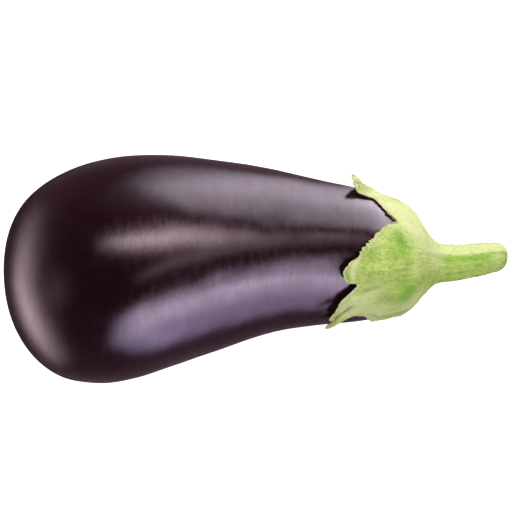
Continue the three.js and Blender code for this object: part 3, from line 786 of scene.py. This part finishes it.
# ------------------------------------------------------------------ stem
def make_stem(material):
    cols = 220
    s = np.concatenate([np.linspace(171.5, 196, 110), 196 + 5.1 * (1 - np.cos(np.linspace(0, math.pi / 2, 30)[1:]))[::1] * 0
                        + 5.1 * np.sin(np.linspace(0, math.pi / 2, 30)[1:])])
    base = 360 * np.arange(cols) / cols
    S, B = s[:, None], base[None, :]
    r0 = stem_radius(S) + 0 * B
    p0 = place(S, B, r0)
    b2, s2 = np.broadcast_to(B, p0.shape[:2]), np.broadcast_to(S, p0.shape[:2])
    rel = relief(b2, s2, np.zeros(p0.shape[:2]), p0, 99 + 0 * r0)
    rel = rel * (0.15 + 0.85 * (1 - smooth(196.5, 200.5, s2)))
    dip = -0.07 * (1 - smooth(174, 178, s2)) - 0.5 * (1 - smooth(171.5, 173, s2))
    side = place(S, B, r0 + rel + dip)
    # cut face: slightly hollow, with an uneven lip
    rim_r = (stem_radius(np.array(STEM_END)) + rel[-1])[None, :]
    k = np.linspace(1, 0, 15)[1:-1, None]
    grainy = 0.08 * field(place(np.full((len(k), cols), STEM_END), B, rim_r * k), 31, 1.1, 30)
    face_s = STEM_END - 0.55 * (1 - k ** 2.2) + grainy * smooth(0, 0.3, 1 - k)
    face = place(face_s, B, rim_r * k)
    rows = np.concatenate([side, face])
    nr = len(rows)
    v = np.concatenate([rows.reshape(-1, 3), place(171.6, 0, 0)[None], place(STEM_END - 0.55, 0, 0)[None]])
    quads = grid_quads(nr, cols)
    tris = np.concatenate([fan(nr * cols, 0, cols, True), fan(nr * cols + 1, (nr - 1) * cols, cols)])
    cut = np.concatenate([np.concatenate([smooth(200.6, 201.1, s2), np.ones(face.shape[:2])]).ravel(), [0, 1]])
    none = np.zeros(b2.shape)
    deep_green_and_shade, pale_and_painted_light, brown_and_shade, speck = tints(side, b2, none, r0, none, none, none, none, none)
    brown_and_shade = np.maximum(brown_and_shade, 0.6 * smooth(199.3, 200.8, s2))
    pad = np.zeros(face.shape[:2])
    gr = np.stack([10 * np.cos(np.radians(b2)), 10 * np.sin(np.radians(b2)), s2], -1)
    gf = np.broadcast_to(np.array([0, 0, 201.0]), face.shape)
    grain = np.concatenate([np.concatenate([gr, gf]).reshape(-1, 3), [[0, 0, 170], [0, 0, 201]]])
    flat = lambda a: np.concatenate([np.concatenate([a, pad]).ravel(), [0, 0]])
    return build("eggplant_stem", v, quads, tris, material,
                 [("rim", np.full(len(v), 50.0)), ("inner", np.zeros(len(v))), ("deep_green_and_shade", flat(deep_green_and_shade)),
                  ("pale_and_painted_light", flat(pale_and_painted_light)), ("brown_and_shade", flat(brown_and_shade)), ("speck", flat(speck)),
                  ("cut", cut), ("grain", grain)])


# ------------------------------------------------------------------ hairs
def hair_material():
    mat = bpy.data.materials.new("hair_cream")
    mat.use_nodes = True
    g = Nodes(mat.node_tree)
    out = g.new("ShaderNodeOutputMaterial")
    bsdf = g.new("ShaderNodeBsdfPrincipled")
    g.tree.links.new(bsdf.outputs[0], out.inputs["Surface"])
    pos = g.new("ShaderNodeTexCoord").outputs["Object"]
    shade = g.noise(pos, 700.0, 2.0, 0.6)
    col = g.mix(g.step(shade, 0.35, 0.6), rgb(196, 190, 128), rgb(238, 240, 196))
    col = g.mix(g.mul(g.step(g.noise(pos, 420.0, 2.0, 0.5), 0.56, 0.66), 0.7), col, rgb(150, 138, 84))
    g.put(bsdf.inputs["Base Color"], col)
    g.put(bsdf.inputs["Roughness"], g.step(shade, 0.2, 0.8, 0.6, 0.8))
    bsdf.inputs["Specular IOR Level"].default_value = 0.05
    return mat


def make_fuzz(material, outer, rim, st, count):
    """Short stiff hairs of the calyx, each a thin closed spike rooted in the surface."""
    rng = np.random.RandomState(77)
    nxt = np.roll(outer, -1, axis=1)
    along = outer[1:] - outer[:-1]
    across = nxt[:-1] - outer[:-1]
    normal = np.cross(across, along)
    size = np.linalg.norm(normal, axis=-1)
    normal = normal / (size[..., None] + 1e-12)
    axis_point = place(st[:-1], 0.0 * st[:-1], 0.0 * st[:-1])
    normal = normal * np.sign(((outer[:-1] - axis_point) * normal).sum(-1, keepdims=True))
    fibre = along / (np.linalg.norm(along, axis=-1, keepdims=True) + 1e-12)
    edge = np.exp(-rim[:-1] / 0.55)
    weight = size * (0.35 + 9.0 * edge) * (st[:-1] < 174) * (outer[:-1, :, 2] > 1.5)
    bristles = size * (rim[:-1] < 0.35) * (outer[:-1, :, 2] > 2.0)
    pick = rng.choice(weight.size, count, p=(weight / weight.sum()).ravel())
    stout = (np.arange(count) < count // 20)[:, None]
    pick[stout[:, 0]] = rng.choice(weight.size, stout.sum(), p=(bristles / bristles.sum()).ravel())
    i, j = np.unravel_index(pick, weight.shape)
    root = outer[i, j] + rng.rand(count, 1) * along[i, j] + rng.rand(count, 1) * across[i, j]
    e = edge[i, j][:, None]
    lean = fibre[i, j] * (0.5 + 0.9 * e) + normal[i, j] * (0.75 - 0.35 * e) * rng.uniform(0.5, 1.2, (count, 1)) \
        + 0.32 * rng.normal(size=(count, 3))
    lean /= np.linalg.norm(lean, axis=1, keepdims=True)
    length = rng.uniform(0.25, 0.6, (count, 1)) + e * rng.uniform(0.0, 0.8, (count, 1)) + 0.35 * stout
    thick = rng.uniform(0.028, 0.05, (count, 1)) * (1 + 0.4 * e) + 0.07 * stout
    side = np.cross(lean, rng.normal(size=(count, 3)))
    side /= np.linalg.norm(side, axis=1, keepdims=True)
    other = np.cross(lean, side)
    base_at = root - 0.12 * normal[i, j]
    ring = [base_at + thick * (math.cos(a) * side + math.sin(a) * other) for a in np.radians([0, 120, 240])]
    tip = root + length * lean
    tip[:, 2] = np.maximum(tip[:, 2], 0.3)
    v = np.stack(ring + [tip], 1).reshape(-1, 3)
    k = 4 * np.arange(count)[:, None]
    tris = np.concatenate([k + np.array([[0, 1, 3]]), k + np.array([[1, 2, 3]]),
                           k + np.array([[2, 0, 3]]), k + np.array([[0, 2, 1]])])
    return build("eggplant_calyx_hairs", v, np.zeros((0, 4), int), tris, material, smooth_shade=False)


# ------------------------------------------------------------------ light and floor
def make_world():
    """Pale room: soft light on matte surfaces, strongest from above and the far side."""
    world = bpy.data.worlds.new("studio")
    scene.world = world
    world.use_nodes = True
    g = Nodes(world.node_tree)
    out = g.new("ShaderNodeOutputWorld")
    d = g.vec("NORMALIZE", g.new("ShaderNodeTexCoord").outputs["Generated"])
    sep = g.new("ShaderNodeSeparateXYZ")
    g.put(sep.inputs[0], d)
    x, y, z = sep.outputs
    soft = g.add(ROOM_LOW, g.mul(g.step(g.add(z, g.mul(y, 0.18)), -0.25, 0.35), ROOM_HIGH))
    diffuse = g.vec("SCALE", (1.0, 0.985, 0.96), scale=soft)
    path = g.new("ShaderNodeLightPath")
    bg = g.new("ShaderNodeBackground")
    c1 = g.mix(path.outputs["Is Glossy Ray"], diffuse, (0.02, 0.02, 0.02, 1.0))
    c2 = g.mix(path.outputs["Is Camera Ray"], c1, (1.0, 1.0, 1.0, 1.0))
    g.put(bg.inputs["Color"], c2)
    g.tree.links.new(bg.outputs[0], out.inputs["Surface"])
    world.cycles.sampling_method = "NONE"


def make_dome():
    """Studio soft boxes, as glowing areas of a dome close round the object. Only
    reflections see it. u and v are the zenith angle in degrees along +X and +Y."""
    mat = bpy.data.materials.new("light_dome")
    mat.use_nodes = True
    g = Nodes(mat.node_tree)
    out = g.new("ShaderNodeOutputMaterial")
    em = g.new("ShaderNodeEmission")
    d = g.vec("NORMALIZE", g.new("ShaderNodeTexCoord").outputs["Object"])
    sep = g.new("ShaderNodeSeparateXYZ")
    g.put(sep.inputs[0], d)
    x, y, z = sep.outputs
    ze = g.mul(g.math("ARCCOSINE", g.math("MAXIMUM", g.math("MINIMUM", z, 0.99999), -0.99999)), 180 / math.pi)
    flat = g.math("MAXIMUM", g.math("SQRT", g.add(g.mul(x, x), g.mul(y, y))), 1e-4)
    u = g.mul(ze, g.math("DIVIDE", x, flat))
    v = g.mul(ze, g.math("DIVIDE", y, flat))

    def tinted(colour, *amounts):
        return g.vec("SCALE", colour, scale=g.mul(*amounts))

    uc = g.math("MAXIMUM", g.math("MINIMUM", u, 50.0), -45.0)

    def curve(*c):
        """Polynomial of uc."""
        out = c[-1]
        for k in c[-2::-1]:
            out = g.add(g.mul(uc, out), k)
        return out

    # far side: long soft box, brightest along its upper edge
    over = g.sub(v, g.add(curve(67.1, -0.4476, 0.003355, -0.0002113), g.step(u, 38.5, 43.5, 0.0, 6.5)))
    over = g.add(over, g.mul(g.bell(u, 2.0, 16.0), 2.5))
    neck = g.add(g.add(g.mul(g.step(u, 38.0, 52.0), 0.85), g.mul(g.step(u, 46.0, 66.0), 1.2)), 0.0)
    neck = g.add(1.0, g.mul(neck, g.step(u, 82.0, 66.0), g.step(v, 100.0, 78.0)))
    rise = g.add(g.mul(g.step(over, -9.8, 9.8), 0.386, neck), g.mul(g.step(v, 45.7, 122.1), 0.614))
    left = g.step(g.sub(u, g.mul(g.sub(v, 88.0), 0.447)), -39.0, 28.0)
    light = tinted((9.2, 8.0, 9.5), rise, left, g.step(v, 127.0, 75.1), curve(1.0, -0.0041))
    # above: narrow strip, and a faint second one beside it
    off = g.sub(v, curve(27.82, 0.0928, -0.005773))
    strip = g.mul(g.bell(off, 0.0, g.step(off, -0.5, 0.5, g.step(u, -20.0, 2.0, 3.6, 6.3), g.sub(g.step(u, 28.0, 40.0, 5.3, 4.0), g.step(u, 15.0, -15.0, 0.0, 0.8)))), g.step(u, -32.5, -4.0),
                  g.step(u, 44.6, 23.0, 0.09, 1.0))
    second = g.mul(g.bell(g.sub(v, curve(-8.4, 0.52)), 0.0, 3.7), g.step(u, -6.0, 14.0), g.step(u, 32.0, 40.0, 0.17, 0.03))
    light = g.vec("ADD", light, tinted((10.0, 7.45, 8.5), g.add(strip, second)))
    # near side: large soft box, cooler towards its foot
    wave = g.sub(g.mul(g.bell(u, 24.0, 6.0), 3.0), g.mul(g.bell(u, -4.0, 8.0), 2.5))
    near = g.mul(g.step(g.sub(v, g.add(curve(-43.4, 0.23, -0.01558, 0.0005124), wave)), 17.8, -17.8),
                 g.step(g.sub(v, curve(-100.0, 0.327)), -12.8, 12.8))
    fade = g.step(v, -70.3, -10.0, 0.205, 1.0)
    glow = g.add(1.0, g.mul(g.bell(g.sub(v, curve(-38.0, -0.358)), 0.0, 12.2), 0.387))
    glow = g.add(glow, g.mul(g.sub(g.mul(g.bell(v, -36.5, 4.2), 0.33), g.mul(g.bell(v, -26.0, 4.5), 0.14)), g.step(u, 34.0, 41.0)))
    edge = g.step(g.sub(u, g.mul(g.math("MAXIMUM", g.sub(-64.0, v), 0.0), 0.883)), -30.8, 8.8)
    gain = g.math("MAXIMUM", g.add(1.0, g.mul(u, -0.01288)), 0.0)
    hue = g.mix(g.step(v, -44.0, -84.0), (21.8, 17.3, 24.4, 1), (24.2, 19.3, 32.6, 1))
    light = g.vec("ADD", light, g.vec("SCALE", hue, scale=g.mul(near, fade, glow, edge, gain)))
    # blossom end: upright curved band and a faint patch inside it
    side = g.sub(u, g.add(g.add(-84.75, g.mul(g.math("MAXIMUM", g.sub(-8.0, v), 0.0), 0.367)), g.mul(v, 0.12)))
    band = g.mul(g.bell(side, 0.0, g.step(side, -0.5, 0.5, 7.7, 9.0)), g.step(v, -75.3, -21.2), g.step(v, 56.4, -37.5))
    light = g.vec("ADD", light, tinted((4.89, 3.65, 4.12), band))
    faint = g.mul(g.bell(u, -57.8, 6.4), g.bell(v, -10.3, 7.7))
    light = g.vec("ADD", light, tinted((0.73, 0.42, 0.52), faint))
    # the dim room round them
    light = g.vec("ADD", light, tinted((0.175, 0.089, 0.14), g.step(ze, 30.0, 90.0), g.step(u, -84.0, -112.0, 1.0, 0.25)))
    light = g.vec("ADD", light, tinted((0.004, 0.026, 0.008), g.step(ze, 92.0, 132.0)))
    g.put(em.inputs["Color"], light)
    em.inputs["Strength"].default_value = 1.0
    g.tree.links.new(em.outputs[0], out.inputs["Surface"])
    mat.cycles.emission_sampling = "NONE"
    rows, cols = 32, 64
    th = math.pi * np.arange(1, rows)[:, None] / rows
    ph = 2 * math.pi * np.arange(cols)[None, :] / cols
    p = 160 * np.stack([np.sin(th) * np.cos(ph), np.sin(th) * np.sin(ph), np.cos(th) + 0 * ph], -1)
    verts = np.concatenate([p.reshape(-1, 3), [[0, 0, 160], [0, 0, -160]]])
    n = rows - 1
    tris = np.concatenate([fan(n * cols, 0, cols, True), fan(n * cols + 1, (n - 1) * cols, cols)])
    dome = build("light_dome", verts, grid_quads(n, cols), tris, mat)
    dome.location = (0, 0, 0.04)
    for k in ("camera", "diffuse", "shadow", "transmission", "volume_scatter"):
        setattr(dome, "visible_" + k, False)


def make_lights():
    def area(name, place_at, target, size, power, colour):
        data = bpy.data.lights.new(name, "AREA")
        data.shape, data.size, data.energy, data.color = "DISK", size, power, colour
        ob = bpy.data.objects.new(name, data)
        scene.collection.objects.link(ob)
        from mathutils import Vector
        d = Vector(target) - Vector(place_at)
        ob.location = place_at
        ob.rotation_euler = d.to_track_quat("-Z", "Y").to_euler()
        ob.visible_camera = ob.visible_glossy = False
        return ob
    area("key", (0.05, 0.95, 0.62), (0, 0, 0.04), 0.5, KEY_POWER, (1.0, 0.99, 0.95))


def make_floor():
    mat = bpy.data.materials.new("floor_white")
    mat.use_nodes = True
    g = Nodes(mat.node_tree)
    out = g.new("ShaderNodeOutputMaterial")
    bsdf = g.new("ShaderNodeBsdfPrincipled")
    g.tree.links.new(bsdf.outputs[0], out.inputs["Surface"])
    bsdf.inputs["Base Color"].default_value = (0.97, 0.97, 0.97, 1)
    bsdf.inputs["Roughness"].default_value = 0.9
    bsdf.inputs["Specular IOR Level"].default_value = 0.0
    em = bsdf.inputs["Emission Color"]
    em.default_value = (1, 1, 1, 1)
    bsdf.inputs["Emission Strength"].default_value = 0.86
    k = 6000.0
    v = np.array([(-k, -k, 0), (k, -k, 0), (k, k, 0), (-k, k, 0)], float)
    floor = build("floor", v, [(0, 1, 2, 3)], np.zeros((0, 3), int), mat, smooth_shade=False)
    floor.location.z = -0.0001
    floor.visible_glossy = False
    floor.visible_diffuse = False


def make_camera():
    data = bpy.data.cameras.new("camera")
    cam = bpy.data.objects.new("camera", data)
    scene.collection.objects.link(cam)
    cam.location = (-0.001317, 0.005463, 0.887)
    cam.rotation_euler = (0, 0, 0)
    data.sensor_width = 36
    data.lens = 150
    data.clip_start = 0.01
    data.clip_end = 50
    scene.camera = cam


# ------------------------------------------------------------------ put together
make_camera()
make_world()
make_lights()
make_dome()
make_floor()

fruit = make_fruit(skin_material())
calyx, sheet, sheet_rim, sheet_st = make_calyx(green_material("calyx_green"))
hairs = make_fuzz(hair_material(), sheet, sheet_rim, sheet_st, 16000)
stem = make_stem(green_material("stem_green", stem=True))
for ob, node, slot in ((fruit, "fruit", "skin"), (calyx, "calyx", "calyx"), (stem, "stem", "stem")):
    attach(ob, "root")
    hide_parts(node)
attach(hairs, "root")
